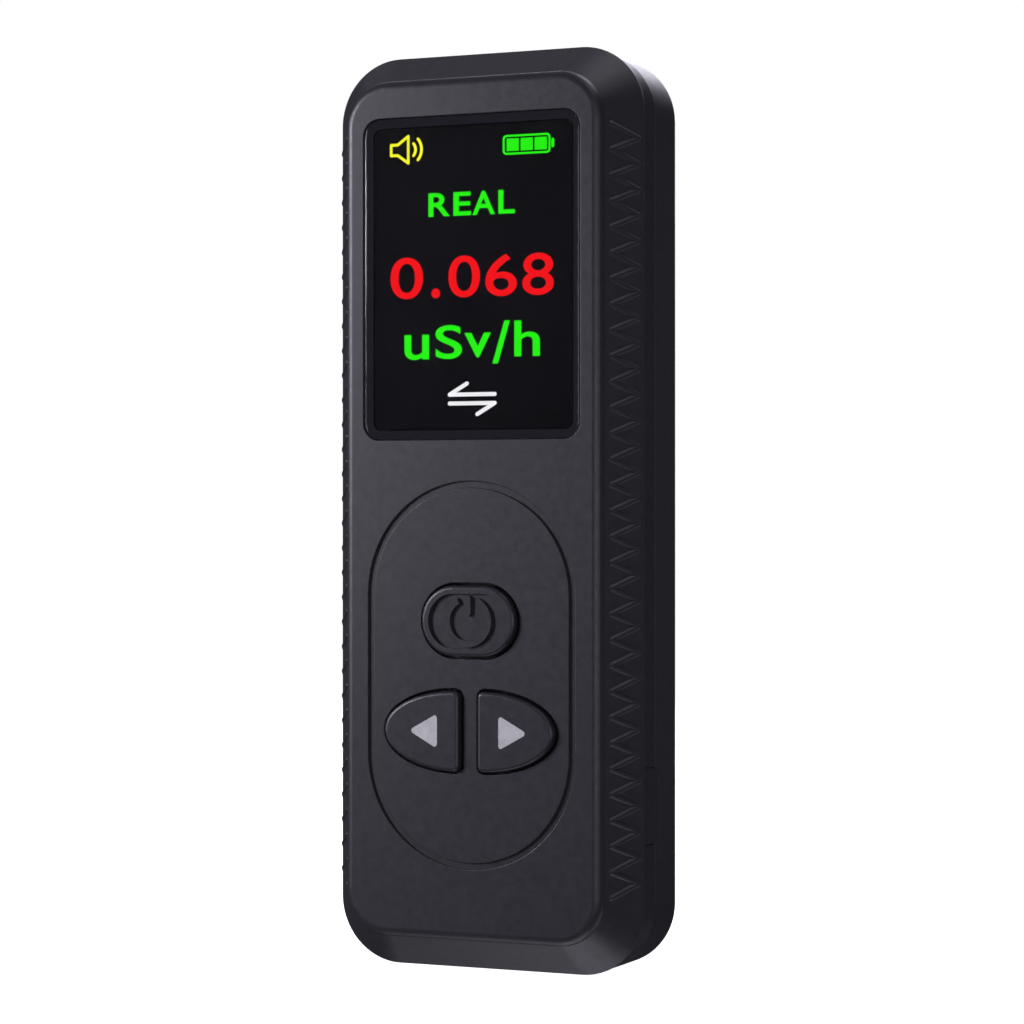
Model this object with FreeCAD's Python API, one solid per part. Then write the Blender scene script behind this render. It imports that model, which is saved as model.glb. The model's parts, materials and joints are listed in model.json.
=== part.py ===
import FreeCAD, Part
import math
import os

# Pocket radiation meter, standing on its lower end.
# X runs left to right across the face, Y from front to back, Z up the long axis.
# The origin is the middle of the lower end. All lengths are millimetres.

V = FreeCAD.Vector

# ---------------------------------------------------------------- driving dimensions
LENGTH = 118.0
WIDTH = 42.84
DEPTH = 19.7
BUTTON_PROUD = 0.8
RIM_DEPTH = 6.4
RIM_LAND = 0.35
RIM_CORNER = 8.5
WALL = 1.6
RUNNING_GAP = 0.36

MID_Z = LENGTH / 2
BACK_Y = DEPTH / 2
BUTTON_Y = -DEPTH / 2
FACE_Y = BUTTON_Y + BUTTON_PROUD
RIM_Y = FACE_Y + RIM_DEPTH
LAND_Y = RIM_Y - RIM_LAND
INNER_FACE_Y = FACE_Y + WALL

# raised face plateau and the crease round it
PLATEAU_HALF_WIDTH = 18.05
PLATEAU_HALF_HEIGHT = 55.1
PLATEAU_MID_Z = MID_Z + 0.3
PLATEAU_CORNER = 6.0
CREASE_Y = FACE_Y + 1.3
PLATEAU_ROUND = 1.22

# recessed band behind the rim, and the parting line between the shells
BAND_START_Y = RIM_Y + 0.4
BAND_INSET = 0.75
BACK_INSET = 0.35
PARTING_Y = RIM_Y + 4.1
BACK_ROUND = 1.6
INNER_BACK_Y = BACK_Y - 1.3

# cavity of the two shells
CAVITY_HALF_WIDTH = 19.3
CAVITY_HALF_HEIGHT = 56.9
CAVITY_CORNER = 6.4
CAVITY_FRONT_HALF_WIDTH = 16.4
CAVITY_FRONT_HALF_HEIGHT = 53.4
CAVITY_FRONT_CORNER = 4.0
LIP_HEIGHT = 1.1
LIP_OUTER = CAVITY_HALF_WIDTH + 0.6
LIP_GAP = 0.08

# display window
WINDOW_MID_Z = MID_Z + 29.79
WINDOW_HALF_WIDTH = 15.25
WINDOW_HALF_HEIGHT = 20.72
WINDOW_CORNER = 2.3
WINDOW_RECESS = 1.0
GLASS_THICKNESS = 0.85
GLASS_GAP = 0.12
VIEW_HALF_WIDTH = 14.1
VIEW_HALF_HEIGHT = 19.5
PANEL_HALF_WIDTH = 16.1
PANEL_HALF_HEIGHT = 23.2
PANEL_MID_Z = MID_Z + 27.65
PANEL_STEP_GAP = 0.2
PANEL_TO_GLASS = 0.06
PANEL_FRONT_Y = INNER_FACE_Y + 0.1

# controls
POWER_Z = MID_Z - 14.0
POWER_HALF_WIDTH = 6.9
POWER_HALF_HEIGHT = 4.85
POWER_RIM = 1.0
POWER_DISH = 0.45
POWER_MARK_HEIGHT = 0.42
POWER_RING_OUTER = 3.3
POWER_RING_INNER = 2.5
POWER_BAR_HALF = 0.42
POWER_BAR_FOOT = 0.65
ARROW_Z = MID_Z - 28.05
ARROW_INNER_X = 0.95
ARROW_TIP_X = 12.2
ARROW_HALF_HEIGHT = 5.45
ARROW_CORNER = 1.1
ARROW_SWITCH_X = 6.2
MARK_BASE_X = 4.3
MARK_TIP_X = 8.0
MARK_HALF_HEIGHT = 1.98
MARK_ROUND = 0.35
MARK_DEPTH = 0.4
MARK_RECESS = 0.05
FLANGE_WIDTH = 0.8
FLANGE_Y = INNER_FACE_Y + 0.05
FLANGE_THICKNESS = 0.7

# racetrack groove round the controls
GROOVE_HALF_WIDTH = 14.54
GROOVE_TOP_Z = MID_Z + 3.82
GROOVE_BOTTOM_Z = MID_Z - 45.65
GROOVE_WIDTH = 0.85
BRIM_ROUND = 0.1
GROOVE_DEPTH = 0.34

# zigzag grip rib on each side bevel
RIB_TURNS = 60
RIB_STEP = 1.6172
RIB_TOP_HALF_WIDTH = 0.15
RIB_FOOT_HALF_WIDTH = 0.46
RIB_HEIGHT = 0.2
RIB_ROOT = 0.05
RIB_INNER_S = 0.95
RIB_OUTER_S = 5.1

# main board
BOARD_FRONT_Y = -3.45
BOARD_THICKNESS = 1.2
BOARD_BACK_Y = BOARD_FRONT_Y + BOARD_THICKNESS
BOARD_HALF_WIDTH = 18.6
BOARD_LOW_Z = 9.0
BOARD_HIGH_Z = 110.9

# screws
CASE_SCREWS = [(-13.6, 113.2), (13.6, 113.2), (-14.5, 6.0), (14.5, 6.0)]
CASE_BOSS_RADIUS = 2.1
CASE_POST_RADIUS = 3.0
CASE_SHANK_RADIUS = 1.0
CASE_HEAD_RADIUS = 1.9
CASE_HEAD_HEIGHT = 1.3
CASE_SEAT_Y = 6.35
CASE_SCREW_TIP_Y = -3.5
BOARD_SCREWS = [(-16.3, 60.8), (16.3, 60.8), (-16.3, 13.2), (16.3, 13.2)]
BOARD_POST_RADIUS = 1.7
BOARD_SHANK_RADIUS = 0.8
BOARD_HEAD_RADIUS = 1.5
BOARD_HEAD_HEIGHT = 0.9
SCREW_FIT = 0.02

# Geiger tube
TUBE_X = -12.4
TUBE_Y = 3.15
TUBE_RADIUS = 5.0
TUBE_WALL = 0.7
TUBE_LOW_Z = 20.0
TUBE_HIGH_Z = 96.0
CAP_RADIUS = 3.6
CAP_LENGTH = 5.0

# battery
BATTERY_X = 5.7
BATTERY_HALF_WIDTH = 11.3
BATTERY_FRONT_Y = 1.2
BATTERY_BACK_Y = 7.2
BATTERY_LOW_Z = 50.0
BATTERY_HIGH_Z = 100.0
PLUG_TOP_Z = 46.0
LEAD_Y = 0.6

# charging port and its cover
PORT_Z = MID_Z - 37.5
PORT_HALF_WIDTH = 4.47
PORT_HALF_HEIGHT = 1.63
PORT_Y = BOARD_BACK_Y + PORT_HALF_HEIGHT
PORT_MOUTH_X = 19.1
PORT_LENGTH = 7.3
COVER_FRONT_Y = -2.2
COVER_BACK_Y = 2.2
COVER_HALF_LENGTH = 4.95
COVER_CORNER = 1.3
COVER_FLOOR_X = 20.1
COVER_GAP = 0.1
COVER_PLUG_X = 19.3

# buzzer
BUZZER_X = 2.5
BUZZER_Z = 20.0
BUZZER_RADIUS = 6.0
BUZZER_BACK_Y = 3.2

# blank rating label
LABEL_MID_Z = 66.0
LABEL_HALF_WIDTH = 13.0
LABEL_HALF_HEIGHT = 17.0
LABEL_RECESS = 0.15


# ---------------------------------------------------------------- helpers
def outline(half_width, low_z, high_z, corner, y, mid_x=0.0):
    """Rounded rectangle in the plane y, as one closed wire."""
    corners = []
    mid_z = (low_z + high_z) / 2
    half_height = (high_z - low_z) / 2
    for side, end, start in ((1, 1, 0), (-1, 1, 90), (-1, -1, 180), (1, -1, 270)):
        x = mid_x + side * (half_width - corner)
        z = mid_z + end * (half_height - corner)
        angles = [math.radians(start + turn) for turn in (0, 45, 90)]
        corners.append([V(x + corner * math.cos(a), y, z + corner * math.sin(a)) for a in angles])
    edges = []
    for index, points in enumerate(corners):
        edges.append(Part.Arc(*points).toShape())
        following = corners[(index + 1) % 4][0]
        if (following - points[2]).Length > 1e-6:
            edges.append(Part.LineSegment(points[2], following).toShape())
    return Part.Wire(edges)


def slab(wire, depth):
    """A wire in a plane of constant Y, made solid towards the back."""
    return Part.Face(wire).extrude(V(0, depth, 0))


def loft(wires):
    return Part.makeLoft(wires, True, True)


def rounded_slab(half_width, low_z, high_z, corner, front_y, back_y, mid_x=0.0):
    return slab(outline(half_width, low_z, high_z, corner, front_y, mid_x), back_y - front_y)


def block(low, high):
    size = [high[axis] - low[axis] for axis in range(3)]
    return Part.makeBox(size[0], size[1], size[2], V(*low))


def rod(x, z, radius, front_y, back_y):
    """Cylinder along Y."""
    return Part.makeCylinder(radius, back_y - front_y, V(x, front_y, z), V(0, 1, 0))


def fused(pieces):
    return pieces[0].fuse(pieces[1:]).removeSplitter()


def group(pieces):
    """Separate solids that share one node."""
    return Part.makeCompound(pieces)


def edges_in_plane(shape, y):
    """Edges that lie wholly in the plane of constant Y."""
    return [e for e in shape.Edges if abs(e.BoundBox.YMin - y) < 1e-4 and abs(e.BoundBox.YMax - y) < 1e-4]


def case_outline(y, inset, lower_inset=None):
    low = inset if lower_inset is None else lower_inset
    return outline(WIDTH / 2 - inset, low, LENGTH - inset, RIM_CORNER - inset / 2, y)


def cavity_outline(y):
    return outline(CAVITY_HALF_WIDTH, MID_Z - CAVITY_HALF_HEIGHT, MID_Z + CAVITY_HALF_HEIGHT, CAVITY_CORNER, y)


def lip_outline(y, extra):
    grow = LIP_OUTER + extra - CAVITY_HALF_WIDTH
    half_height = CAVITY_HALF_HEIGHT + grow
    return outline(LIP_OUTER + extra, MID_Z - half_height, MID_Z + half_height, CAVITY_CORNER + grow, y)


def plateau_outline(y):
    low = PLATEAU_MID_Z - PLATEAU_HALF_HEIGHT
    high = PLATEAU_MID_Z + PLATEAU_HALF_HEIGHT
    return outline(PLATEAU_HALF_WIDTH, low, high, PLATEAU_CORNER, y)


def power_outline(y, grow):
    half_height = POWER_HALF_HEIGHT + grow
    return outline(POWER_HALF_WIDTH + grow, POWER_Z - half_height, POWER_Z + half_height, half_height - 1e-4, y)


def arrow_outline(side, y, grow):
    """Half ellipse on a straight inner side, whose two corners are rounded. side is -1 left, 1 right."""
    corner = ARROW_CORNER + grow
    inner = side * (ARROW_INNER_X - grow)
    middle = inner + side * corner
    tip = side * (ARROW_TIP_X + grow)
    half = ARROW_HALF_HEIGHT + grow
    ellipse = Part.Ellipse(V(tip, y, ARROW_Z), V(middle, y, ARROW_Z + half), V(middle, y, ARROW_Z))
    bow = Part.ArcOfEllipse(ellipse, -math.pi / 2, math.pi / 2).toShape()
    diagonal = corner * math.sqrt(0.5)
    edges = [bow]
    for end in (1, -1):
        centre = V(middle, y, ARROW_Z + end * (half - corner))
        start = V(middle, y, ARROW_Z + end * half)
        bend = centre + V(-side * diagonal, 0, end * diagonal)
        finish = V(inner, y, ARROW_Z + end * (half - corner))
        edges.append(Part.Arc(start, bend, finish).toShape())
    upper = V(inner, y, ARROW_Z + half - corner)
    lower = V(inner, y, ARROW_Z - half + corner)
    edges.append(Part.LineSegment(upper, lower).toShape())
    return Part.Wire(Part.__sortEdges__(edges))


def mark_outline(side, y, grow):
    """Rounded triangle that points outwards."""
    radius = MARK_ROUND + grow
    inset = MARK_ROUND
    lean = math.atan2(MARK_HALF_HEIGHT, MARK_TIP_X - MARK_BASE_X)
    tip = V(side * (MARK_TIP_X - inset / math.sin(lean) + inset), y, ARROW_Z)
    base_x = side * (MARK_BASE_X + inset)
    rise = MARK_HALF_HEIGHT - inset
    nodes = [tip, V(base_x, y, ARROW_Z + rise), V(base_x, y, ARROW_Z - rise)]
    middle = (nodes[0] + nodes[1] + nodes[2]) * (1 / 3)
    edges = []
    for index in range(3):
        here = nodes[index]
        there = nodes[(index + 1) % 3]
        along = (there - here).normalize()
        out = V(-along.z, 0, along.x)
        if (here - middle).dot(out) < 0:
            out = out * -1
        edges.append((here + out * radius, there + out * radius))
    wires = []
    for index in range(3):
        start, finish = edges[index]
        wires.append(Part.LineSegment(start, finish).toShape())
        following = edges[(index + 1) % 3][0]
        centre = nodes[(index + 1) % 3]
        bisector = ((finish - centre) + (following - centre)).normalize()
        wires.append(Part.Arc(finish, centre + bisector * radius, following).toShape())
    return Part.Wire(Part.__sortEdges__(wires))


# ---------------------------------------------------------------- case shells
def front_body():
    """Outside of the front shell: face plateau, bevel, rim, undercut and recessed band."""
    sections = [
        plateau_outline(CREASE_Y),
        case_outline(LAND_Y, 0.0),
        case_outline(RIM_Y, 0.0),
        case_outline(BAND_START_Y, BAND_INSET, BAND_INSET / 2),
        case_outline(PARTING_Y, BACK_INSET, 0.0),
    ]
    bezel = loft(sections)
    soft = edges_in_plane(bezel, LAND_Y) + edges_in_plane(bezel, RIM_Y)
    bezel = bezel.makeFillet(0.16, soft)
    plateau = slab(plateau_outline(FACE_Y), CREASE_Y - FACE_Y)
    plateau = plateau.makeFillet(PLATEAU_ROUND, edges_in_plane(plateau, FACE_Y))
    return bezel.fuse(plateau)


def front_cavity():
    low = PLATEAU_MID_Z - CAVITY_FRONT_HALF_HEIGHT
    high = PLATEAU_MID_Z + CAVITY_FRONT_HALF_HEIGHT
    front = outline(CAVITY_FRONT_HALF_WIDTH, low, high, CAVITY_FRONT_CORNER, INNER_FACE_Y)
    sloped = loft([front, cavity_outline(LAND_Y), cavity_outline(PARTING_Y)])
    lip_seat = slab(lip_outline(PARTING_Y - LIP_HEIGHT - LIP_GAP, LIP_GAP), LIP_HEIGHT + LIP_GAP)
    return [sloped, lip_seat]


def groove():
    depth = GROOVE_DEPTH
    radius = GROOVE_HALF_WIDTH - 1e-4
    outer = rounded_slab(GROOVE_HALF_WIDTH, GROOVE_BOTTOM_Z, GROOVE_TOP_Z, radius, FACE_Y, FACE_Y + depth)
    half = GROOVE_HALF_WIDTH - GROOVE_WIDTH
    low = GROOVE_BOTTOM_Z + GROOVE_WIDTH
    high = GROOVE_TOP_Z - GROOVE_WIDTH
    return outer.cut(rounded_slab(half, low, high, half - 1e-4, FACE_Y, FACE_Y + depth))


def rib(side):
    """Zigzag rib with sloped flanks on one side bevel: side is -1 left, 1 right."""
    foot = rib_outline(side, -RIB_ROOT, RIB_FOOT_HALF_WIDTH)
    return loft([foot, rib_outline(side, RIB_HEIGHT, RIB_TOP_HALF_WIDTH)])


def rib_outline(side, height, half_width):
    """Outline of the rib at a height above the bevel. s runs down the bevel from the crease."""
    across = V(side * (WIDTH / 2 - PLATEAU_HALF_WIDTH), LAND_Y - CREASE_Y, 0).normalize()
    outward = V(side * across.y, -abs(across.x), 0).normalize()
    origin = V(side * PLATEAU_HALF_WIDTH, CREASE_Y, MID_Z) + outward * height
    reach = RIB_OUTER_S - RIB_INNER_S
    run = math.hypot(reach, RIB_STEP)
    miter = half_width * run / RIB_STEP

    def place(s, z):
        return origin + across * s + V(0, 0, z)

    def step(index):
        """Unit direction of one run, as (s, z)."""
        way = 1 if index % 2 == 0 else -1
        return way * reach / run, -RIB_STEP / run

    def beside(point, direction, way):
        return place(point[0] - way * half_width * direction[1], point[1] + way * half_width * direction[0])

    def end_cap(point, direction, sign):
        return place(point[0] + sign * half_width * direction[0], point[1] + sign * half_width * direction[1])

    def chain(way):
        """Edge of the rib on one hand, from the top turn to the lowest."""
        corners = []
        for index in range(1, RIB_TURNS):
            point = turns[index]
            hand = 1 if index % 2 == 1 else -1
            if hand == way:
                bend = place(point[0] + hand * half_width, point[1])
                corners.append((beside(point, step(index - 1), way), bend, beside(point, step(index), way)))
            else:
                corners.append((place(point[0] - hand * miter, point[1]),))
        return corners

    turns = []
    for index in range(RIB_TURNS + 1):
        s = RIB_INNER_S if index % 2 == 0 else RIB_OUTER_S
        turns.append((s, RIB_STEP * (RIB_TURNS / 2 - index)))
    first = step(0)
    last = step(RIB_TURNS - 1)
    top = (beside(turns[0], first, -1), end_cap(turns[0], first, -1), beside(turns[0], first, 1))
    foot = (beside(turns[-1], last, 1), end_cap(turns[-1], last, 1), beside(turns[-1], last, -1))
    back = [tuple(reversed(corner)) for corner in reversed(chain(-1))]
    loop = [top] + chain(1) + [foot] + back
    edges = []
    for index, corner in enumerate(loop):
        if len(corner) == 3:
            edges.append(Part.Arc(*corner).toShape())
        edges.append(Part.LineSegment(corner[-1], loop[(index + 1) % len(loop)][0]).toShape())
    return Part.Wire(edges)


def cover_pocket(extra, floor_x):
    """Prism of the port cover's outline, from floor_x outwards."""
    low = V(0, COVER_FRONT_Y - extra, PORT_Z - COVER_HALF_LENGTH - extra)
    width = COVER_BACK_Y - COVER_FRONT_Y + 2 * extra
    height = 2 * (COVER_HALF_LENGTH + extra)
    box = Part.makeBox(WIDTH / 2 - floor_x + 1.0, width, height, V(floor_x, low.y, low.z))
    along_x = [e for e in box.Edges if e.BoundBox.XLength > 0.5]
    return box.makeFillet(COVER_CORNER + extra, along_x)


def port_hole():
    half = PORT_HALF_HEIGHT - 0.1
    box = Part.makeBox(4.0, 2 * half, 2 * (PORT_HALF_WIDTH + 0.15),
                       V(COVER_FLOOR_X - 3.5, PORT_Y - half + 0.05, PORT_Z - PORT_HALF_WIDTH - 0.15))
    along_x = [e for e in box.Edges if e.BoundBox.XLength > 0.5]
    return box.makeFillet(half - 0.05, along_x)


def port_clearance():
    """Room inside the walls for the charging socket."""
    low = (PORT_MOUTH_X - PORT_LENGTH, PORT_Y - PORT_HALF_HEIGHT - 0.1, PORT_Z - PORT_HALF_WIDTH - 0.2)
    high = (PORT_MOUTH_X + 0.15, PORT_Y + PORT_HALF_HEIGHT + 0.1, PORT_Z + PORT_HALF_WIDTH + 0.2)
    return block(low, high)


def tether_slot():
    return block((16.0, COVER_BACK_Y - 0.2, PORT_Z - 1.6), (20.6, COVER_BACK_Y + 0.65, PORT_Z + 1.6))


def front_shell():
    body = front_body()
    shell = body.cut(front_cavity())
    posts = [rod(x, z, CASE_BOSS_RADIUS, -5.0, PARTING_Y) for x, z in CASE_SCREWS]
    posts += [rod(x, z, BOARD_POST_RADIUS, INNER_FACE_Y - 0.5, BOARD_FRONT_Y) for x, z in BOARD_SCREWS]
    shell = shell.fuse([post.common(body) for post in posts])
    cuts = [rod(x, z, CASE_SHANK_RADIUS + SCREW_FIT, CASE_SCREW_TIP_Y - 0.2, PARTING_Y) for x, z in CASE_SCREWS]
    cuts += [rod(x, z, BOARD_SHANK_RADIUS + SCREW_FIT, -6.6, BOARD_FRONT_Y) for x, z in BOARD_SCREWS]
    low = WINDOW_MID_Z - WINDOW_HALF_HEIGHT
    high = WINDOW_MID_Z + WINDOW_HALF_HEIGHT
    cuts.append(rounded_slab(WINDOW_HALF_WIDTH, low, high, WINDOW_CORNER, FACE_Y, FACE_Y + WINDOW_RECESS))
    low = WINDOW_MID_Z - VIEW_HALF_HEIGHT
    high = WINDOW_MID_Z + VIEW_HALF_HEIGHT
    cuts.append(rounded_slab(VIEW_HALF_WIDTH, low, high, 1.2, FACE_Y, INNER_FACE_Y + 0.1))
    cuts.append(slab(power_outline(FACE_Y, 0.0), WALL + 0.1))
    cuts += [slab(arrow_outline(side, FACE_Y, 0.0), WALL + 0.1) for side in (-1, 1)]
    cuts.append(groove())
    shell = shell.cut(cuts)
    brims = [e for e in edges_in_plane(shell, FACE_Y) if e.BoundBox.XMax < PLATEAU_HALF_WIDTH - PLATEAU_ROUND - 0.3
             and e.BoundBox.ZMax < PLATEAU_MID_Z + PLATEAU_HALF_HEIGHT - PLATEAU_ROUND - 0.3]
    brims = [e for e in brims if e.BoundBox.XMin > -PLATEAU_HALF_WIDTH + PLATEAU_ROUND + 0.3
             and e.BoundBox.ZMin > PLATEAU_MID_Z - PLATEAU_HALF_HEIGHT + PLATEAU_ROUND + 0.3]
    shell = shell.makeFillet(BRIM_ROUND, brims)
    shell = shell.fuse([rib(-1), rib(1)])
    shell = shell.cut([cover_pocket(0.0, COVER_FLOOR_X), port_hole(), port_clearance()])
    return shell.removeSplitter()


def back_shell():
    body = slab(case_outline(PARTING_Y, BACK_INSET, 0.0), BACK_Y - PARTING_Y)
    body = body.makeFillet(BACK_ROUND, edges_in_plane(body, BACK_Y))
    body = body.makeChamfer(0.12, edges_in_plane(body, PARTING_Y))
    shell = body.cut(slab(cavity_outline(PARTING_Y), INNER_BACK_Y - PARTING_Y))
    lip = slab(lip_outline(PARTING_Y - LIP_HEIGHT, 0.0), LIP_HEIGHT + 1.0)
    lip = lip.cut(slab(cavity_outline(PARTING_Y - LIP_HEIGHT), LIP_HEIGHT + 1.0))
    posts = [rod(x, z, CASE_POST_RADIUS, PARTING_Y, BACK_Y - 0.5).common(body) for x, z in CASE_SCREWS]
    ribs = []
    for x in (BATTERY_X - BATTERY_HALF_WIDTH - 0.9, BATTERY_X + BATTERY_HALF_WIDTH + 0.1):
        ribs.append(block((x, 5.2, BATTERY_LOW_Z + 5), (x + 0.8, INNER_BACK_Y + 0.2, BATTERY_HIGH_Z - 5)))
    shell = shell.fuse([lip] + posts + ribs)
    cuts = []
    for x, z in CASE_SCREWS:
        cuts.append(rod(x, z, CASE_SHANK_RADIUS + 0.1, PARTING_Y - 2, BACK_Y))
        cuts.append(rod(x, z, CASE_HEAD_RADIUS + 0.15, CASE_SEAT_Y, BACK_Y))
    cuts.append(rod(BUZZER_X, BUZZER_Z, 0.6, INNER_BACK_Y - 1, BACK_Y))
    for index in range(6):
        angle = math.radians(60 * index)
        x = BUZZER_X + 2.5 * math.cos(angle)
        z = BUZZER_Z + 2.5 * math.sin(angle)
        cuts.append(rod(x, z, 0.6, INNER_BACK_Y - 1, BACK_Y))
    low = LABEL_MID_Z - LABEL_HALF_HEIGHT
    high = LABEL_MID_Z + LABEL_HALF_HEIGHT
    cuts.append(rounded_slab(LABEL_HALF_WIDTH, low, high, 1.5, BACK_Y - LABEL_RECESS, BACK_Y))
    for x, z in CASE_SCREWS:
        cuts.append(rod(x, z, CASE_BOSS_RADIUS + 0.15, PARTING_Y - LIP_HEIGHT - 0.1, PARTING_Y))
    cuts += [cover_pocket(0.0, COVER_FLOOR_X), port_hole(), port_clearance(), tether_slot()]
    return shell.cut(cuts).removeSplitter()


def port_cover():
    whole = fused([slab(case_outline(PARTING_Y, BACK_INSET, 0.0), BACK_Y - PARTING_Y), front_body()])
    flap = whole.common(cover_pocket(-COVER_GAP, COVER_FLOOR_X + 0.02))
    plug = block((COVER_PLUG_X, PORT_Y - 0.95, PORT_Z - 3.6), (COVER_FLOOR_X + 0.3, PORT_Y + 0.95, PORT_Z + 3.6))
    plug = plug.makeFillet(0.7, [e for e in plug.Edges if e.BoundBox.XLength > 0.5])
    return flap.fuse(plug).removeSplitter()


def cover_tether():
    strap = block((18.2, COVER_BACK_Y + 0.03, PORT_Z - 1.5), (20.5, COVER_BACK_Y + 0.6, PORT_Z + 1.5))
    anchor = block((18.2, COVER_BACK_Y + 0.03, PORT_Z - 2.3), (18.9, COVER_BACK_Y + 1.6, PORT_Z + 2.3))
    return fused([strap, anchor])


def case_screws():
    screws = []
    for x, z in CASE_SCREWS:
        head = rod(x, z, CASE_HEAD_RADIUS, CASE_SEAT_Y, CASE_SEAT_Y + CASE_HEAD_HEIGHT)
        head = head.makeFillet(0.45, edges_in_plane(head, CASE_SEAT_Y + CASE_HEAD_HEIGHT))
        screw = head.fuse(rod(x, z, CASE_SHANK_RADIUS, CASE_SCREW_TIP_Y, CASE_SEAT_Y))
        screws.append(screw.cut(cross_slot(x, z, CASE_SEAT_Y + CASE_HEAD_HEIGHT, 1.05, 0.32, 0.7)))
    return group(screws)


def board_screws():
    screws = []
    for x, z in BOARD_SCREWS:
        top = BOARD_BACK_Y + BOARD_HEAD_HEIGHT
        screw = rod(x, z, BOARD_HEAD_RADIUS, BOARD_BACK_Y, top).fuse(
            rod(x, z, BOARD_SHANK_RADIUS, -6.4, BOARD_BACK_Y))
        screws.append(screw.cut(cross_slot(x, z, top, 0.85, 0.25, 0.5)))
    return group(screws)


def cross_slot(x, z, top, reach, width, depth):
    """Cross recess in a screw head."""
    flat = block((x - reach, top - depth, z - width / 2), (x + reach, top, z + width / 2))
    upright = block((x - width / 2, top - depth, z - reach), (x + width / 2, top, z + reach))
    return flat.fuse(upright)


# ---------------------------------------------------------------- display
def display_window():
    front = FACE_Y + WINDOW_RECESS - 0.1 - GLASS_THICKNESS
    glass = window_slab(GLASS_GAP, front, front + GLASS_THICKNESS)
    return glass.makeFillet(0.3, edges_in_plane(glass, front))


def window_slab(inset, front_y, back_y):
    low = WINDOW_MID_Z - WINDOW_HALF_HEIGHT + inset
    high = WINDOW_MID_Z + WINDOW_HALF_HEIGHT - inset
    return rounded_slab(WINDOW_HALF_WIDTH - inset, low, high, WINDOW_CORNER - inset, front_y, back_y)


def window_adhesive():
    back = FACE_Y + WINDOW_RECESS
    low = WINDOW_MID_Z - VIEW_HALF_HEIGHT
    high = WINDOW_MID_Z + VIEW_HALF_HEIGHT
    hole = rounded_slab(VIEW_HALF_WIDTH, low, high, 1.2, back - 0.1, back)
    return window_slab(0.2, back - 0.1, back).cut(hole)


def panel_slab(inset, front_y, back_y):
    low = PANEL_MID_Z - PANEL_HALF_HEIGHT + inset
    high = PANEL_MID_Z + PANEL_HALF_HEIGHT - inset
    return rounded_slab(PANEL_HALF_WIDTH - inset, low, high, 0.6, front_y, back_y)


def display_panel():
    """Panel behind the shell, with a step that fills the view opening up to the glass."""
    glass_back = FACE_Y + WINDOW_RECESS - 0.1
    low = WINDOW_MID_Z - VIEW_HALF_HEIGHT + PANEL_STEP_GAP
    high = WINDOW_MID_Z + VIEW_HALF_HEIGHT - PANEL_STEP_GAP
    half_width = VIEW_HALF_WIDTH - PANEL_STEP_GAP
    step = rounded_slab(half_width, low, high, 1.0, glass_back + PANEL_TO_GLASS, PANEL_FRONT_Y)
    return fused([panel_slab(0.0, PANEL_FRONT_Y, PANEL_FRONT_Y + 1.8), step])


def display_ribbon():
    """Flat flexible lead from the lower end of the panel to its socket."""
    high = PANEL_MID_Z - PANEL_HALF_HEIGHT
    front = [(-5.0, high), (-5.0, high - 2.5), (-4.15, high - 4.5), (-4.15, 58.0)]
    back = [(y + 0.18, z) for y, z in reversed(front)]
    points = [V(-7, y, z) for y, z in front + back]
    points.append(points[0])
    return Part.Face(Part.makePolygon(points)).extrude(V(14, 0, 0))


# ---------------------------------------------------------------- controls
def key_body(profile, x, z):
    """Cap through the face, retaining flange behind it and a pusher for the switch."""
    cap = slab(profile(BUTTON_Y, -RUNNING_GAP), FLANGE_Y - BUTTON_Y + 0.1)
    cap = cap.makeFillet(0.45, edges_in_plane(cap, BUTTON_Y))
    flange = slab(profile(FLANGE_Y, FLANGE_WIDTH - RUNNING_GAP), FLANGE_THICKNESS)
    pusher = rod(x, z, 1.5, FLANGE_Y + FLANGE_THICKNESS, -6.0)
    return cap.fuse([flange, pusher])


def power_button():
    body = key_body(power_outline, 0.0, POWER_Z)
    dish = slab(power_outline(BUTTON_Y, -RUNNING_GAP - POWER_RIM), POWER_DISH)
    body = body.cut(dish)
    top = BUTTON_Y + POWER_DISH - POWER_MARK_HEIGHT
    base = BUTTON_Y + POWER_DISH + 0.2
    ring = rod(0.0, POWER_Z, POWER_RING_OUTER, top, base).cut(rod(0.0, POWER_Z, POWER_RING_INNER, top, base))
    opening = math.tan(math.radians(27)) * 5
    points = [V(0, top, POWER_Z), V(-opening, top, POWER_Z + 5), V(opening, top, POWER_Z + 5), V(0, top, POWER_Z)]
    ring = ring.cut(Part.Face(Part.makePolygon(points)).extrude(V(0, base - top, 0)))
    low = POWER_Z + POWER_BAR_FOOT
    high = POWER_Z + POWER_RING_OUTER
    bar = rounded_slab(POWER_BAR_HALF, low, high, POWER_BAR_HALF - 1e-3, top, base)
    return body.fuse([ring, bar]).removeSplitter()


def arrow_button(side):
    body = key_body(lambda y, grow: arrow_outline(side, y, grow), side * ARROW_SWITCH_X, ARROW_Z)
    wire = mark_outline(side, BUTTON_Y, 0.03)
    return body.cut(slab(wire, MARK_DEPTH)).removeSplitter()


def arrow_inlay(side):
    return slab(mark_outline(side, BUTTON_Y + MARK_RECESS, 0.03), MARK_DEPTH - MARK_RECESS)


def switch_body(x, z):
    body = block((x - 2.25, -5.15, z - 2.25), (x + 2.25, BOARD_FRONT_Y, z + 2.25))
    return body.cut(rod(x, z, 1.1, -5.15, -4.55))


def switch_stem(x, z):
    return rod(x, z, 1.0, -6.0, -5.05)


# ---------------------------------------------------------------- electronics
def main_board():
    board = rounded_slab(BOARD_HALF_WIDTH, BOARD_LOW_Z, BOARD_HIGH_Z, 2.0, BOARD_FRONT_Y, BOARD_BACK_Y)
    return board.cut([rod(x, z, BOARD_SHANK_RADIUS + SCREW_FIT, BOARD_FRONT_Y, BOARD_BACK_Y) for x, z in BOARD_SCREWS])


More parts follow.
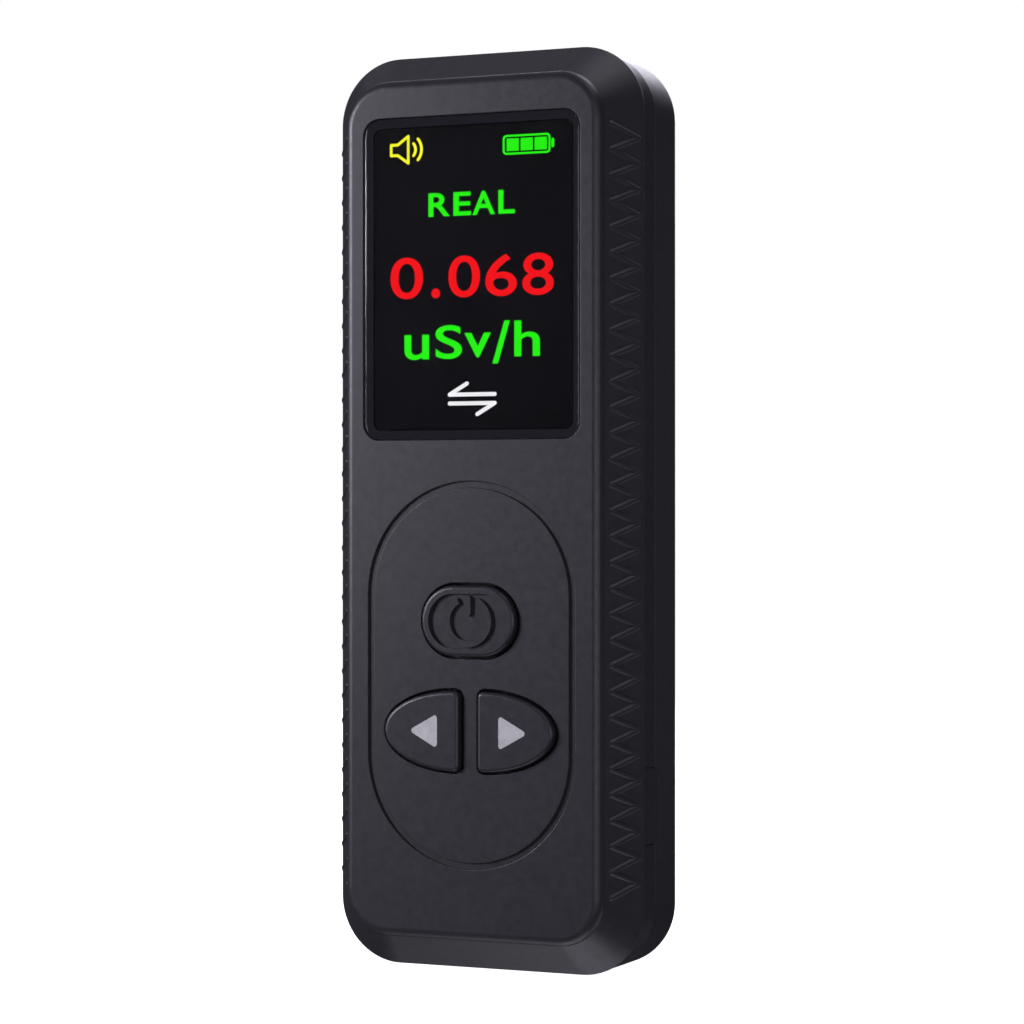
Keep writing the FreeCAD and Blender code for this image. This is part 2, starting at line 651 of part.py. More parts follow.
def board_block(x, z, width, height, depth):
    """Part that stands on the back of the board, centred at x and z."""
    low = (x - width / 2, BOARD_BACK_Y, z - height / 2)
    return block(low, (x + width / 2, BOARD_BACK_Y + depth, z + height / 2))


def along_tube(radius, low_z, high_z):
    return Part.makeCylinder(radius, high_z - low_z, V(TUBE_X, TUBE_Y, low_z), V(0, 0, 1))


def tube_glass():
    outer = along_tube(TUBE_RADIUS, TUBE_LOW_Z, TUBE_HIGH_Z)
    ends = [e for e in outer.Edges if e.BoundBox.ZLength < 1e-4]
    outer = outer.makeFillet(1.2, ends)
    return outer.cut(along_tube(TUBE_RADIUS - TUBE_WALL, TUBE_LOW_Z + 1.5, TUBE_HIGH_Z - 1.5))


def tube_cathode():
    outer = TUBE_RADIUS - TUBE_WALL
    sleeve = along_tube(outer, TUBE_LOW_Z + 4, TUBE_HIGH_Z - 4)
    return sleeve.cut(along_tube(outer - 0.25, TUBE_LOW_Z + 4, TUBE_HIGH_Z - 4))


def tube_end_caps():
    caps = []
    for low, high in ((TUBE_LOW_Z - CAP_LENGTH, TUBE_LOW_Z), (TUBE_HIGH_Z, TUBE_HIGH_Z + CAP_LENGTH)):
        caps.append(along_tube(CAP_RADIUS, low, high))
    return group(caps)


def tube_clips():
    """Two sprung clips on the board that hold the tube by its end caps."""
    clips = []
    for middle in (TUBE_LOW_Z - CAP_LENGTH / 2, TUBE_HIGH_Z + CAP_LENGTH / 2):
        low = middle - 1.5
        hoop = along_tube(CAP_RADIUS + 0.45, low, low + 3).cut(along_tube(CAP_RADIUS, low, low + 3))
        mouth = block((TUBE_X - 2.2, TUBE_Y, low), (TUBE_X + 2.2, TUBE_Y + 6, low + 3))
        foot = block((TUBE_X - 1.2, BOARD_BACK_Y, low), (TUBE_X + 1.2, TUBE_Y - CAP_RADIUS - 0.2, low + 3))
        clips.append(hoop.cut(mouth).fuse(foot).cut(along_tube(CAP_RADIUS, low, low + 3)))
    return group(clips)


def tube_cushions():
    rings = []
    for middle in (TUBE_LOW_Z + 10, TUBE_HIGH_Z - 10):
        ring = along_tube(TUBE_RADIUS + 0.35, middle - 2, middle + 2)
        rings.append(ring.cut(along_tube(TUBE_RADIUS, middle - 2, middle + 2)))
    return group(rings)


def battery_cell():
    cell = block((BATTERY_X - BATTERY_HALF_WIDTH, BATTERY_FRONT_Y, BATTERY_LOW_Z),
                 (BATTERY_X + BATTERY_HALF_WIDTH, BATTERY_BACK_Y, BATTERY_HIGH_Z))
    return cell.makeFillet(1.4, [e for e in cell.Edges if e.BoundBox.ZLength > 10])


def battery_leads():
    """Two short insulated wires from the cell down to the plug, each bent twice."""
    low = PLUG_TOP_Z
    bend = (BATTERY_LOW_Z - 0.4 - low) / 2
    start_y = LEAD_Y + 2 * bend
    lean = bend * math.sqrt(0.5)
    wires = []
    for x in (10.4, 12.6):
        top = V(x, start_y, BATTERY_LOW_Z)
        first = V(x, start_y, low + 2 * bend)
        middle = V(x, LEAD_Y + bend, low + bend)
        last = V(x, LEAD_Y, low)
        upper = V(x, LEAD_Y + bend + lean, low + 2 * bend - lean)
        lower = V(x, LEAD_Y + bend - lean, low + lean)
        path = Part.Wire([
            Part.LineSegment(top, first).toShape(),
            Part.Arc(first, upper, middle).toShape(),
            Part.Arc(middle, lower, last).toShape(),
        ])
        profile = Part.Wire(Part.makeCircle(0.5, top, V(0, 0, -1)))
        wires.append(path.makePipeShell([profile], True, True))
    return group(wires)


def usb_socket_shell():
    low_x = PORT_MOUTH_X - PORT_LENGTH
    outer = socket_prism(low_x, PORT_MOUTH_X, 0.0)
    return outer.cut(socket_prism(low_x + 0.3, PORT_MOUTH_X, 0.3))


def socket_prism(low_x, high_x, inset):
    half_y = PORT_HALF_HEIGHT - inset
    half_z = PORT_HALF_WIDTH - inset
    box = Part.makeBox(high_x - low_x, 2 * half_y, 2 * half_z, V(low_x, PORT_Y - half_y, PORT_Z - half_z))
    return box.makeFillet(half_y - 0.15, [e for e in box.Edges if e.BoundBox.XLength > 0.5])


def usb_socket_tongue():
    low_x = PORT_MOUTH_X - PORT_LENGTH + 0.3
    root = block((low_x, PORT_Y - 0.9, PORT_Z - 3.6), (low_x + 1.6, PORT_Y + 0.9, PORT_Z + 3.6))
    tongue = block((low_x, PORT_Y - 0.35, PORT_Z - 3.35), (PORT_MOUTH_X - 0.8, PORT_Y + 0.35, PORT_Z + 3.35))
    return fused([root, tongue])


def transformer_core():
    core = board_block(0.0, 41.0, 8.4, 8.0, 6.0)
    windows = []
    for side in (-1, 1):
        x = side * 2.4
        windows.append(block((x - 1.0, BOARD_BACK_Y + 1.2, 37.0), (x + 1.0, BOARD_BACK_Y + 4.8, 45.0)))
    return core.cut(windows)


def transformer_winding():
    coils = []
    for side in (-1, 1):
        x = side * 2.4
        coils.append(block((x - 0.95, BOARD_BACK_Y + 1.25, 37.4), (x + 0.95, BOARD_BACK_Y + 4.75, 44.6)))
    return group(coils)


def high_voltage_capacitors():
    return group([rod(x, 31.0, 2.4, BOARD_BACK_Y, BOARD_BACK_Y + 2.6) for x in (-2.6, 3.0)])


def buzzer():
    can = rod(BUZZER_X, BUZZER_Z, BUZZER_RADIUS, BOARD_BACK_Y, BUZZER_BACK_Y)
    return can.cut(rod(BUZZER_X, BUZZER_Z, 1.0, BUZZER_BACK_Y - 1.2, BUZZER_BACK_Y))


def small_chips():
    """Charger, regulator, pulse amplifier, memory and the anode resistor."""
    places = [(12.5, 33.0, 3.0, 3.0, 0.9), (7.5, 36.5, 2.9, 1.6, 1.1), (-4.0, 60.0, 5.0, 4.0, 1.4),
              (10.0, 62.0, 4.0, 5.0, 1.5), (-4.0, 26.5, 3.2, 1.6, 0.7)]
    return group([board_block(x, z, width, height, depth) for x, z, width, height, depth in places])


def rating_label():
    low = LABEL_MID_Z - LABEL_HALF_HEIGHT + 0.2
    high = LABEL_MID_Z + LABEL_HALF_HEIGHT - 0.2
    return rounded_slab(LABEL_HALF_WIDTH - 0.2, low, high, 1.3, BACK_Y - LABEL_RECESS, BACK_Y - 0.03)


# ---------------------------------------------------------------- the whole meter
PARTS = {
    "front_shell": front_shell(),
    "back_shell": back_shell(),
    "case_screws": case_screws(),
    "display_window": display_window(),
    "window_adhesive": window_adhesive(),
    "display_panel": display_panel(),
    "backlight_frame": panel_slab(0.2, PANEL_FRONT_Y + 1.8, PANEL_FRONT_Y + 3.0),
    "display_foam": panel_slab(1.5, PANEL_FRONT_Y + 3.0, BOARD_FRONT_Y),
    "display_ribbon": display_ribbon(),
    "ribbon_socket": block((-8.0, -4.45, 54.5), (8.0, BOARD_FRONT_Y, 58.0)),
    "power_button": power_button(),
    "left_button": arrow_button(-1),
    "right_button": arrow_button(1),
    "left_arrow_inlay": arrow_inlay(-1),
    "right_arrow_inlay": arrow_inlay(1),
    "power_switch": switch_body(0.0, POWER_Z),
    "left_switch": switch_body(-ARROW_SWITCH_X, ARROW_Z),
    "right_switch": switch_body(ARROW_SWITCH_X, ARROW_Z),
    "power_switch_stem": switch_stem(0.0, POWER_Z),
    "left_switch_stem": switch_stem(-ARROW_SWITCH_X, ARROW_Z),
    "right_switch_stem": switch_stem(ARROW_SWITCH_X, ARROW_Z),
    "main_board": main_board(),
    "board_screws": board_screws(),
    "microcontroller": board_block(4.0, 78.0, 7.0, 7.0, 1.2),
    "crystal": board_block(11.5, 78.0, 3.2, 5.0, 0.9),
    "small_chips": small_chips(),
    "transformer_core": transformer_core(),
    "transformer_winding": transformer_winding(),
    "high_voltage_capacitors": high_voltage_capacitors(),
    "geiger_tube_glass": tube_glass(),
    "geiger_tube_cathode": tube_cathode(),
    "geiger_tube_anode": along_tube(0.4, TUBE_LOW_Z + 1.5, TUBE_HIGH_Z - 1.5),
    "geiger_tube_end_caps": tube_end_caps(),
    "tube_clips": tube_clips(),
    "tube_cushions": tube_cushions(),
    "battery_cell": battery_cell(),
    "battery_pad": block((BATTERY_X - 9.0, BATTERY_BACK_Y, BATTERY_LOW_Z + 4),
                         (BATTERY_X + 9.0, INNER_BACK_Y, BATTERY_HIGH_Z - 4)),
    "battery_leads": battery_leads(),
    "battery_plug": block((8.8, -1.0, 41.6), (14.2, 2.2, PLUG_TOP_Z)),
    "battery_socket": block((8.5, BOARD_BACK_Y, 38.0), (14.5, -1.0, 44.0)),
    "buzzer": buzzer(),
    "usb_socket_shell": usb_socket_shell(),
    "usb_socket_tongue": usb_socket_tongue(),
    "port_cover": port_cover(),
    "cover_tether": cover_tether(),
    "rating_label": rating_label(),
}

os.makedirs("parts", exist_ok=True)
for name, shape in PARTS.items():
    shape.exportStep("parts/" + name + ".step")
    state = "valid" if shape.isValid() else "NOT VALID"
    print(name, len(shape.Solids), round(shape.Volume, 1), state)
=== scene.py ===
# Pocket Geiger counter: finishes, lit display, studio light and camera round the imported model.
import json
import math

import bmesh
import bpy
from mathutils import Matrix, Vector


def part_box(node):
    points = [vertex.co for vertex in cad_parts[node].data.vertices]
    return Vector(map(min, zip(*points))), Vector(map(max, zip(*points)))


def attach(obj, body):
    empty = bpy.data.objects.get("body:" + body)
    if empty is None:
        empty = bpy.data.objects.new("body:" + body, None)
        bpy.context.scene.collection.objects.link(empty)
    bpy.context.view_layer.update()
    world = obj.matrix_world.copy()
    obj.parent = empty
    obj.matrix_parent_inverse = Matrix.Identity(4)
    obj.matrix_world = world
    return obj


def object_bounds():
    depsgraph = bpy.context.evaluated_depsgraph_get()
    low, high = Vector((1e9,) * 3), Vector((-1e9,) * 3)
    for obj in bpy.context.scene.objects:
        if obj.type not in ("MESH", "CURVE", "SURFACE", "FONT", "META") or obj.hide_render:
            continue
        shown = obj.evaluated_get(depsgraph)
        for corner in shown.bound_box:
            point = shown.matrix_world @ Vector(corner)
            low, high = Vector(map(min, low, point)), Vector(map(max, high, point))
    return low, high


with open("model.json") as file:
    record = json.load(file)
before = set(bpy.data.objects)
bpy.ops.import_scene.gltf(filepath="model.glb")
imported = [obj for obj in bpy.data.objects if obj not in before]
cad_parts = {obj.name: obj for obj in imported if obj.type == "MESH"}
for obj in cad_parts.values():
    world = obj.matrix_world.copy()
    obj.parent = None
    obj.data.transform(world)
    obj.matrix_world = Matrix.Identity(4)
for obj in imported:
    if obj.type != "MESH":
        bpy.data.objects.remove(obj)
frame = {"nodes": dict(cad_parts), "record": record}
nodes = frame["nodes"]
cad_low, cad_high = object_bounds()

MM = 0.001

# ---------------------------------------------------------------- places taken from the frame
CENTRE = (cad_low + cad_high) / 2
FACE_TO_RIM = 6.4 * MM
RIM_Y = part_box("front_shell")[0].y + FACE_TO_RIM
GLASS_BACK_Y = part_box("display_window")[1].y


# ---------------------------------------------------------------- materials
def node_material(name):
    """A new material, its node tree and its Principled shader."""
    material = bpy.data.materials.new(name)
    material.use_nodes = True
    tree = material.node_tree
    shader = next(n for n in tree.nodes if n.type == "BSDF_PRINCIPLED")
    return material, tree, shader


def noise(tree, scale, detail=2.0, rough=0.5, seed=0.0):
    """Noise in the object's own coordinates, scale in cycles per metre."""
    place = tree.nodes.new("ShaderNodeTexCoord")
    shift = tree.nodes.new("ShaderNodeMapping")
    shift.inputs["Location"].default_value = (seed, seed * 0.7, seed * 1.3)
    texture = tree.nodes.new("ShaderNodeTexNoise")
    texture.inputs["Scale"].default_value = scale
    texture.inputs["Detail"].default_value = detail
    texture.inputs["Roughness"].default_value = rough
    tree.links.new(place.outputs["Object"], shift.inputs["Vector"])
    tree.links.new(shift.outputs["Vector"], texture.inputs["Vector"])
    return texture.outputs["Fac"]


def remap(tree, value, low, high, start=0.3, end=0.7):
    """Spreads a noise value over the range from low to high."""
    node = tree.nodes.new("ShaderNodeMapRange")
    node.inputs["From Min"].default_value = start
    node.inputs["From Max"].default_value = end
    node.inputs["To Min"].default_value = low
    node.inputs["To Max"].default_value = high
    tree.links.new(value, node.inputs["Value"])
    return node.outputs["Result"]


def blend_colour(tree, value, first, second):
    """Colour between first and second, as value goes from 0 to 1."""
    node = tree.nodes.new("ShaderNodeMix")
    node.data_type = "RGBA"
    node.inputs["A"].default_value = (*first, 1.0)
    node.inputs["B"].default_value = (*second, 1.0)
    tree.links.new(value, node.inputs["Factor"])
    return node.outputs["Result"]


def add_bump(tree, shader, height, depth, strength):
    """Relief on the shader's normal, with depth in metres."""
    node = tree.nodes.new("ShaderNodeBump")
    node.inputs["Strength"].default_value = strength
    node.inputs["Distance"].default_value = depth
    tree.links.new(height, node.inputs["Height"])
    tree.links.new(node.outputs["Normal"], shader.inputs["Normal"])


def moulded(name, colour, roughness, grain=3600.0, depth=0.014 * MM, strength=0.5, seed=0.0):
    """Fine-grained moulded plastic: spark-eroded texture, faint mottling of tone and gloss."""
    material, tree, shader = node_material(name)
    mottle = remap(tree, noise(tree, 700.0, 4.0, 0.7, seed), 0.0, 1.0)
    darker = tuple(c * 0.88 for c in colour)
    lighter = tuple(c * 1.12 for c in colour)
    tree.links.new(blend_colour(tree, mottle, darker, lighter), shader.inputs["Base Color"])
    gloss = remap(tree, noise(tree, 900.0, 2.0, 0.5, seed + 3), roughness - 0.035, roughness + 0.035)
    tree.links.new(gloss, shader.inputs["Roughness"])
    fine = noise(tree, grain, 3.0, 0.65, seed + 7)
    add_bump(tree, shader, fine, depth, strength)
    return material


def plain_metal(name, colour, roughness, seed=0.0):
    """Bare metal with uneven tone and gloss."""
    material, tree, shader = node_material(name)
    value = remap(tree, noise(tree, 1600.0, 3.0, 0.6, seed), roughness - 0.08, roughness + 0.10)
    tree.links.new(value, shader.inputs["Roughness"])
    tone = remap(tree, noise(tree, 500.0, 3.0, 0.6, seed + 2), 0.0, 1.0)
    darker = tuple(c * 0.85 for c in colour)
    tree.links.new(blend_colour(tree, tone, darker, colour), shader.inputs["Base Color"])
    shader.inputs["Metallic"].default_value = 1.0
    add_bump(tree, shader, noise(tree, 3500.0, 2.0, 0.5, seed + 5), 0.004 * MM, 0.4)
    return material


def window_glass():
    """Clear glass with a coating that lowers its reflection."""
    material, tree, shader = node_material("window_glass_finish")
    shader.inputs["Base Color"].default_value = (0.86, 0.86, 0.88, 1.0)
    shader.inputs["Transmission Weight"].default_value = 1.0
    shader.inputs["IOR"].default_value = 1.5
    shader.inputs["Specular IOR Level"].default_value = 0.1
    smear = remap(tree, noise(tree, 60.0, 3.0, 0.6, 4.0), 0.02, 0.06)
    tree.links.new(smear, shader.inputs["Roughness"])
    return material


def black_screen_and_painted_glow(name, glow):
    """Nearly black, with a faint even glow: on the display face the glow of the lit display, on the black
    window mask a painted glow, since that printed mask is no lamp.
    """
    material, tree, shader = node_material(name)
    tone = remap(tree, noise(tree, 45.0, 1.0, 0.4, 2.0), 0.0, 1.0)
    base = blend_colour(tree, tone, (0.0040, 0.0038, 0.0050), (0.0055, 0.0052, 0.0068))
    tree.links.new(base, shader.inputs["Base Color"])
    shader.inputs["Roughness"].default_value = 0.35
    shader.inputs["Specular IOR Level"].default_value = 0.1
    shader.inputs["Emission Color"].default_value = (0.0080, 0.0074, 0.0105, 1.0)
    shader.inputs["Emission Strength"].default_value = glow
    return material


def lit(name, colour):
    """Lit picture elements, which shine in one colour."""
    material, tree, shader = node_material(name)
    shader.inputs["Base Color"].default_value = tuple(c * 0.2 for c in colour) + (1.0,)
    shader.inputs["Roughness"].default_value = 0.4
    shader.inputs["Specular IOR Level"].default_value = 0.0
    shader.inputs["Emission Color"].default_value = (*colour, 1.0)
    shader.inputs["Emission Strength"].default_value = 1.0
    return material


def satin(name, colour, roughness, grain=2600.0, seed=1.0):
    """Moulded finish with a shallower and coarser grain."""
    return moulded(name, colour, roughness, grain, 0.006 * MM, 0.25, seed)


CASE_GREY = (0.0290, 0.0280, 0.0335)
KEY_GREY = (0.0275, 0.0266, 0.0320)
case_plastic = moulded("case_plastic_finish", CASE_GREY, 0.40, seed=0.0)
key_plastic = moulded("key_plastic_finish", KEY_GREY, 0.38, seed=11.0)
mark_plastic = satin("mark_plastic_finish", (0.58, 0.58, 0.58), 0.45, seed=21.0)
silicone = moulded("silicone_finish", (0.0262, 0.0254, 0.0305), 0.48, grain=3800.0, seed=31.0)

FINISHES = {
    "case_plastic": case_plastic,
    "key_plastic": key_plastic,
    "mark_plastic": mark_plastic,
    "window_glass": window_glass(),
    # The black window mask glows with painted light, which lifts it to the tone of the display face behind
    # the glass.
    "adhesive": black_screen_and_painted_glow("window_mask_painted_glow", 1.9),
    "panel": black_screen_and_painted_glow("display_face_finish", 0.42),
    "white_plastic": satin("white_plastic_finish", (0.70, 0.70, 0.67), 0.5),
    "foam": moulded("foam_finish", (0.02, 0.02, 0.02), 0.85, grain=2200.0, depth=0.05 * MM, strength=0.8),
    "polyimide": satin("polyimide_finish", (0.50, 0.24, 0.04), 0.35),
    "connector_plastic": satin("connector_finish", (0.68, 0.66, 0.56), 0.45),
    "circuit_board": satin("circuit_board_finish", (0.012, 0.085, 0.035), 0.30),
    "chip": satin("chip_finish", (0.014, 0.014, 0.015), 0.5),
    "bright_metal": plain_metal("bright_metal_finish", (0.62, 0.61, 0.59), 0.30),
    "black_steel": plain_metal("black_steel_finish", (0.055, 0.055, 0.060), 0.38, 5.0),
    "copper": plain_metal("copper_finish", (0.72, 0.34, 0.16), 0.35, 7.0),
    "ferrite": satin("ferrite_finish", (0.03, 0.03, 0.032), 0.6),
    "ceramic_blue": satin("ceramic_blue_finish", (0.03, 0.11, 0.30), 0.3),
    "tube_glass": window_glass(),
    "cathode_metal": plain_metal("cathode_finish", (0.52, 0.52, 0.53), 0.4, 9.0),
    "silicone": silicone,
    "pouch": plain_metal("pouch_finish", (0.58, 0.59, 0.61), 0.45, 13.0),
    "wire_insulation": satin("wire_finish", (0.40, 0.02, 0.02), 0.45),
    "label_film": satin("label_film_finish", (0.070, 0.070, 0.078), 0.35, grain=1200.0),
}


def dress_cad_nodes():
    """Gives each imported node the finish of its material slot."""
    for entry in frame["record"]["subparts"]:
        mesh = nodes[entry["node"]].data
        finish = FINISHES[entry["material_slot"]]
        for index in range(len(mesh.materials)):
            mesh.materials[index] = finish


# ---------------------------------------------------------------- lit display
MARK_THICKNESS = 0.02 * MM
MARK_GAP = 0.012 * MM
LETTER_EXTRUDE = 0.01
GREEN = lit("lit_green", (0.022, 1.0, 0.008))
RED = lit("lit_red", (1.0, 0.008, 0.012))
YELLOW = lit("lit_yellow", (1.0, 1.0, 0.030))
WHITE = lit("lit_white", (1.0, 1.0, 1.0))


def screen_piece(name, bm, finish):
    """A thin lit piece just behind the glass, from the plates in bm, which this uses up."""
    mesh = bpy.data.meshes.new(name)
    bm.to_mesh(mesh)
    bm.free()
    mesh.materials.append(finish)
    piece = bpy.data.objects.new(name, mesh)
    bpy.context.scene.collection.objects.link(piece)
    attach(piece, "case")
    return piece


def thick_outline(bm, loop):
    """Adds a closed outline as a thin plate. Points are (x, z) in millimetres from the middle of the case."""
    front_y = GLASS_BACK_Y + MARK_GAP
    front = [bm.verts.new((x * MM, front_y, CENTRE.z + z * MM)) for x, z in loop]
    back = [bm.verts.new((v.co.x, v.co.y + MARK_THICKNESS, v.co.z)) for v in front]
    count = len(loop)
    bm.faces.new(front)
    bm.faces.new(list(reversed(back)))
    for index in range(count):
        following = (index + 1) % count
        bm.faces.new((front[index], back[index], back[following], front[following]))


def stroke(bm, points, width, closed=False, cap=8):
    """Adds a line of constant width through the points, as one round-ended plate per run."""
    half = width / 2
    following = points[1:] + points[:1] if closed else points[1:]
    for (x0, z0), (x1, z1) in zip(points, following):
        turn = math.atan2(z1 - z0, x1 - x0)
        loop = []
        for x, z, start in ((x0, z0, turn + math.pi / 2), (x1, z1, turn - math.pi / 2)):
            for step in range(cap + 1):
                angle = start + math.pi * step / cap
                loop.append((x + half * math.cos(angle), z + half * math.sin(angle)))
        thick_outline(bm, loop)


def arc_points(x, z, radius, start, end, count):
    """Points along an arc, with its angles in degrees."""
    angles = [math.radians(start + (end - start) * i / count) for i in range(count + 1)]
    return [(x + radius * math.cos(a), z + radius * math.sin(a)) for a in angles]


def character(text, left, right, base, top, weight):
    """Mesh of one character of the built-in face, made bold and fitted to its box in millimetres."""
    curve = bpy.data.curves.new(text, "FONT")
    curve.body = text
    curve.size = 1.0
    curve.offset = weight
    curve.resolution_u = 8
    curve.extrude = LETTER_EXTRUDE
    holder = bpy.data.objects.new("character", curve)
    bpy.context.scene.collection.objects.link(holder)
    bpy.context.view_layer.update()
    mesh = bpy.data.meshes.new_from_object(holder.evaluated_get(bpy.context.evaluated_depsgraph_get()))
    bpy.data.objects.remove(holder)
    bpy.data.curves.remove(curve)
    xs = [v.co.x for v in mesh.vertices]
    ys = [v.co.y for v in mesh.vertices]
    low_x, high_x, low_y, high_y = min(xs), max(xs), min(ys), max(ys)
    front_y = GLASS_BACK_Y + MARK_GAP
    for v in mesh.vertices:
        x = left + (v.co.x - low_x) / (high_x - low_x) * (right - left)
        z = base + (v.co.y - low_y) / (high_y - low_y) * (top - base)
        y = front_y + (0.0 if v.co.z > 0 else MARK_THICKNESS)
        v.co = (x * MM, y, CENTRE.z + z * MM)
    return mesh


def lettering(name, finish, weight, characters):
    """A word on the display, from (character, left, right, base, top) entries in millimetres."""
    bm = bmesh.new()
    for text, left, right, base, top in characters:
        mesh = character(text, left, right, base, top, weight)
        bm.from_mesh(mesh)
        bpy.data.meshes.remove(mesh)
    return screen_piece(name, bm, finish)


def speaker_mark():
    """Outline of a speaker and two sound waves."""
    bm = bmesh.new()
    body = [(-11.5, 45.75), (-11.5, 47.1), (-10.55, 47.1), (-9.05, 48.15), (-9.05, 44.7), (-10.55, 45.75)]
    stroke(bm, body, 0.38, closed=True)
    stroke(bm, arc_points(-9.15, 46.4, 1.15, -42, 42, 10), 0.38)
    stroke(bm, arc_points(-9.15, 46.4, 2.0, -42, 42, 14), 0.38)
    return screen_piece("speaker_mark", bm, YELLOW)


def battery_mark():
    """Rounded outline with three cells and a terminal on the right."""
    bm = bmesh.new()
    left, right, low, high, corner = 4.45, 10.8, 45.22, 47.48, 0.4
    outline = []
    for x, z, start in ((right - corner, high - corner, 0), (left + corner, high - corner, 90),
                        (left + corner, low + corner, 180), (right - corner, low + corner, 270)):
        outline += arc_points(x, z, corner, start, start + 90, 6)
    stroke(bm, outline, 0.27, closed=True)
    stroke(bm, [(11.25, 45.95), (11.25, 46.75)], 0.42)
    for index in range(3):
        start = 4.86 + index * 1.94
        thick_outline(bm, [(start, 45.55), (start + 1.7, 45.55), (start + 1.7, 47.15), (start, 47.15)])
    return screen_piece("battery_mark", bm, GREEN)


def half_arrows():
    """Two half arrows, the upper one pointing left and the lower one right."""
    bm = bmesh.new()
    stroke(bm, [(-0.7, 16.25), (-3.15, 14.85), (3.2, 14.85)], 0.52)
    stroke(bm, [(-3.15, 13.72), (3.2, 13.72), (0.75, 12.32)], 0.52)
    return screen_piece("half_arrows", bm, WHITE)


MODE_BASE, MODE_TOP = 37.66, 40.69
READING_BASE, READING_TOP = 27.22, 32.58
# (character, left, right, base, top) in millimetres from the middle of the case
MODE_WORD = [
    ("R", -6.17, -3.10, MODE_BASE, MODE_TOP),
    ("E", -2.62, -0.13, MODE_BASE, MODE_TOP),
    ("A", 0.06, 3.24, MODE_BASE, MODE_TOP),
    ("L", 3.70, 6.02, MODE_BASE, MODE_TOP),
]
READING = [
    ("0", -11.61, -6.92, READING_BASE, READING_TOP),
    (".", -5.75, -4.50, READING_BASE, 28.48),
    ("0", -3.33, 1.14, READING_BASE, READING_TOP),
    ("6", 1.88, 6.30, READING_BASE, READING_TOP),
    ("8", 7.03, 11.41, READING_BASE, READING_TOP),
]
UNIT = [
    ("u", -9.60, -6.07, 19.36, 22.60),
    ("S", -5.17, -1.39, 19.40, 23.75),
    ("v", -1.07, 2.68, 19.55, 22.68),
    ("/", 2.86, 5.33, 18.70, 24.15),
    ("h", 5.92, 9.48, 19.55, 24.10),
]


def lit_display():
    """Everything that shines behind the glass."""
    speaker_mark()
    battery_mark()
    half_arrows()
    lettering("mode_word", GREEN, 0.020, MODE_WORD)
    lettering("reading", RED, 0.008, READING)
    lettering("unit", GREEN, 0.012, UNIT)


# ---------------------------------------------------------------- studio
LAMP_TINT = (0.985, 0.955, 1.09)
AMBIENT = 0.015


def aim(thing, target):
    """Turns a lamp so that it faces the target."""
    thing.rotation_mode = "QUATERNION"
    thing.rotation_quaternion = (target - thing.location).to_track_quat("-Z", "Y")


def softbox(name, azimuth, elevation, distance, width, height, radiance):
    """Rectangular lamp that faces the meter. Azimuth is 0 in front and 90 on the right, in degrees."""
    turn = math.radians(azimuth)
    lift = math.radians(elevation)
    direction = Vector((math.sin(turn) * math.cos(lift), -math.cos(turn) * math.cos(lift), math.sin(lift)))
    holder = lamp(name, CENTRE + direction * distance, width, height, radiance)
    aim(holder, CENTRE)


def lamp(name, place, width, height, radiance):
    """Area lamp whose energy follows from its radiance, whatever its size."""
    data = bpy.data.lights.new(name, "AREA")
    data.shape = "RECTANGLE"
    data.size = width
    data.size_y = height
    data.energy = radiance * math.pi * width * height
    data.color = LAMP_TINT
    holder = bpy.data.objects.new(name, data)
    bpy.context.scene.collection.objects.link(holder)
    holder.location = place
    holder.visible_camera = False
    return holder


def studio_world():
    """White to the camera, a dim even grey to everything else."""
    world = bpy.data.worlds.new("studio")
    bpy.context.scene.world = world
    world.use_nodes = True
    tree = world.node_tree
    tree.nodes.clear()
    out = tree.nodes.new("ShaderNodeOutputWorld")
    mix = tree.nodes.new("ShaderNodeMixShader")
    path = tree.nodes.new("ShaderNodeLightPath")
    dim = tree.nodes.new("ShaderNodeBackground")
    white = tree.nodes.new("ShaderNodeBackground")
    dim.inputs["Color"].default_value = (1.0, 1.0, 1.0, 1.0)
    dim.inputs["Strength"].default_value = AMBIENT
    white.inputs["Color"].default_value = (1.0, 1.0, 1.0, 1.0)
    white.inputs["Strength"].default_value = 1.0
    tree.links.new(path.outputs["Is Camera Ray"], mix.inputs["Fac"])
    tree.links.new(dim.outputs[0], mix.inputs[1])
    tree.links.new(white.outputs[0], mix.inputs[2])
    tree.links.new(mix.outputs[0], out.inputs["Surface"])


def pale_floor():
    """Light table: it shows white to the camera and lets the lamps below it through."""
    bm = bmesh.new()
    bmesh.ops.create_circle(bm, cap_ends=True, segments=96, radius=3.0)
    mesh = bpy.data.meshes.new("floor")
    bm.to_mesh(mesh)
    bm.free()
    material, tree, shader = node_material("pale_floor")
    shader.inputs["Base Color"].default_value = (0.85, 0.85, 0.86, 1.0)
    shader.inputs["Roughness"].default_value = 0.9
    shader.inputs["Specular IOR Level"].default_value = 0.0
    shader.inputs["Emission Color"].default_value = (1.0, 1.0, 1.0, 1.0)
    shader.inputs["Emission Strength"].default_value = 1.0
    mesh.materials.append(material)
    floor = bpy.data.objects.new("floor", mesh)
    bpy.context.scene.collection.objects.link(floor)
    floor.location = (0.0, 0.0, cad_low.z)
    floor.visible_glossy = False
    floor.visible_diffuse = False
    floor.visible_transmission = False
    floor.visible_shadow = False


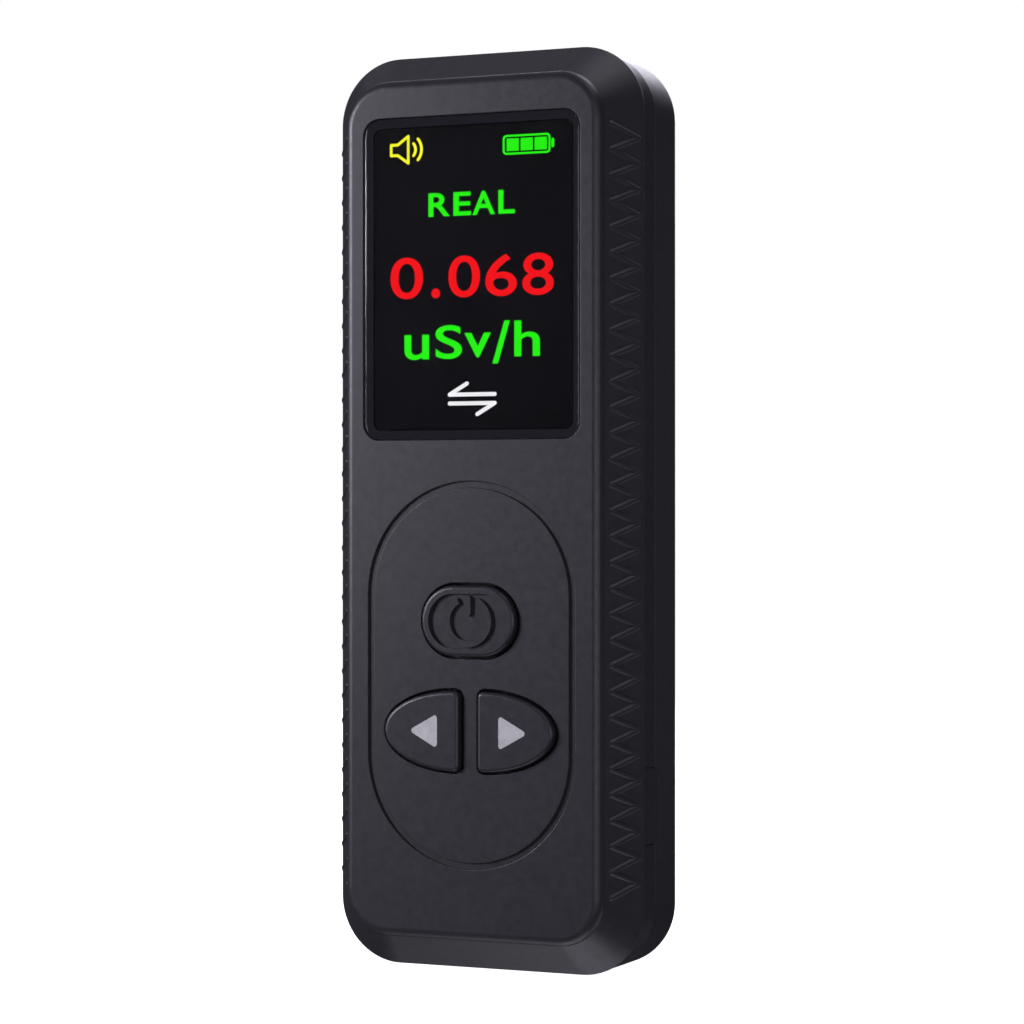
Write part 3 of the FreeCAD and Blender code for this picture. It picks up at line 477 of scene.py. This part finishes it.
def studio_light():
    """Small key on the left, weak fills on the right, one high lamp behind, and light off the table."""
    softbox("key", -49, 15, 0.34, 0.075, 0.09, 27.0)
    softbox("key_lower", -48, 0, 0.35, 0.085, 0.09, 6.5)
    softbox("key_left", -61, 16, 0.35, 0.085, 0.09, 8.0)
    softbox("fill_front_right", 30, 0, 0.50, 0.22, 0.22, 2.3)
    softbox("fill_right", 60, 0, 0.50, 0.22, 0.22, 1.4)
    softbox("right_high", 60, 58, 0.50, 0.20, 0.20, 1.8)
    softbox("back_right_high", 150, 62, 0.50, 0.22, 0.22, 3.8)
    softbox("back_high", 180, 52, 0.50, 0.22, 0.36, 0.6)
    softbox("back_right", 120, 0, 0.50, 0.22, 0.22, 0.15)
    softbox("back_level", 180, 0, 0.50, 0.22, 0.22, 0.25)
    softbox("back_left", -165, 25, 0.50, 0.30, 0.30, 4.0)
    softbox("left_high", -135, 48, 0.50, 0.26, 0.30, 0.2)
    softbox("top", 0, 88, 0.50, 0.30, 0.30, 0.12)
    softbox("table_bounce", 0, -88, 0.50, 0.40, 0.40, 1.4)
    softbox("table_bounce_right", 120, -42, 0.50, 0.25, 0.30, 0.65)


def camera():
    """Level camera, a little to the right of the face's axis."""
    turn = math.radians(24.6)
    distance = 400.3 * MM
    side_shift = 2.69 * MM
    drop = 0.13 * MM
    data = bpy.data.cameras.new("camera")
    data.sensor_width = 36.0
    data.lens = 109.1
    data.clip_start = 0.01
    data.clip_end = 20.0
    holder = bpy.data.objects.new("camera", data)
    bpy.context.scene.collection.objects.link(holder)
    ahead = Vector((-math.sin(turn), math.cos(turn), 0.0))
    right = Vector((math.cos(turn), math.sin(turn), 0.0))
    target = Vector((CENTRE.x, RIM_Y, CENTRE.z - drop))
    holder.location = target - ahead * distance + right * side_shift
    holder.rotation_euler = (math.radians(90.0), 0.0, turn)
    bpy.context.scene.camera = holder


# ---------------------------------------------------------------- the picture
dress_cad_nodes()
lit_display()
studio_world()
pale_floor()
studio_light()
camera()
bpy.context.scene.view_settings.view_transform = "Standard"
